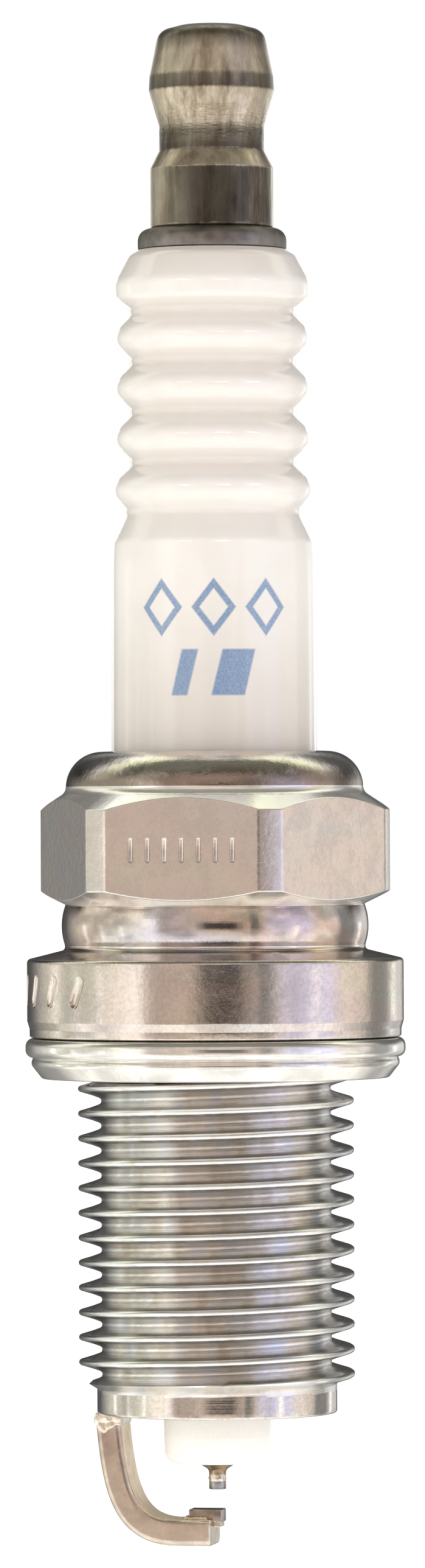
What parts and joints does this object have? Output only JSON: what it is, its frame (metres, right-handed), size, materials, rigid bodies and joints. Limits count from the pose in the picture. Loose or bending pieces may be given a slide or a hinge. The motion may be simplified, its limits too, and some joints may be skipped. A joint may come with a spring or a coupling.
{
  "type": "spark plug",
  "caption": "Spark plug: threaded steel shell with a hexagon and a folded gasket, ribbed ceramic insulator, removable terminal nut and a bent ground electrode over the tip.",
  "frame": {"origin": "on the plug's axis, in the plane of the gasket's lower face, where it seats on the cylinder head", "axes": "+Z along the axis towards the terminal, -Z into the cylinder head; -Y is the side the picture looks at and +X is its right"},
  "size_m": [0.0192, 0.0192, 0.0764],
  "materials": {
    "terminal_nickel": "oxidised nickel plate with fine lengthwise streaks",
    "terminal_steel": "dull grey plated steel",
    "glazed_ceramic": "glossy warm white glaze over alumina",
    "plated_steel": "nickel-plated steel with a faint warm and greenish bloom",
    "gasket_steel": "bright plated sheet steel",
    "nickel_alloy": "satin nickel alloy",
    "copper": "bare copper",
    "weld_nickel": "bright laser weld",
    "iridium": "dark precious metal",
    "strap_nickel": "heat-tinted nickel alloy with rounded bright edges",
    "weld_steel": "bright upset weld flash",
    "platinum": "satin precious metal",
    "conductive_glass": "opaque copper-filled glass",
    "resistor_carbon": "matte fired carbon and glass",
    "talc": "pressed powder",
    "packing_wire": "drawn wire",
    "packing_copper": "soft copper-faced washer"
  },
  "bodies": {
    "plug_body": {"terminal_stud": "terminal_steel", "insulator": "glazed_ceramic", "shell": "plated_steel", "centre_electrode": "nickel_alloy", "electrode_core": "copper", "electrode_tip_weld": "weld_nickel", "electrode_tip": "iridium", "ground_strap": "strap_nickel", "ground_strap_weld": "weld_steel", "ground_pad": "platinum", "ground_pad_weld": "weld_nickel", "upper_glass_seal": "conductive_glass", "resistor": "resistor_carbon", "lower_glass_seal": "conductive_glass", "talc_packing": "talc", "upper_packing_ring": "packing_wire", "lower_packing_ring": "packing_wire", "seat_packing": "packing_copper"},
    "terminal_nut": {"terminal_nut": "terminal_nickel"},
    "gasket": {"gasket": "gasket_steel"}
  },
  "joints": [
    {"name": "terminal_nut_unscrew", "type": "slide", "parent": "plug_body", "child": "terminal_nut", "axis": [0, 0, 1], "range_m": [0, 0.0086]},
    {"name": "gasket_spin", "type": "hinge", "parent": "plug_body", "child": "gasket", "pos_m": [0, 0, 0.001], "axis": [0, 0, 1], "continuous": true}
  ]
}
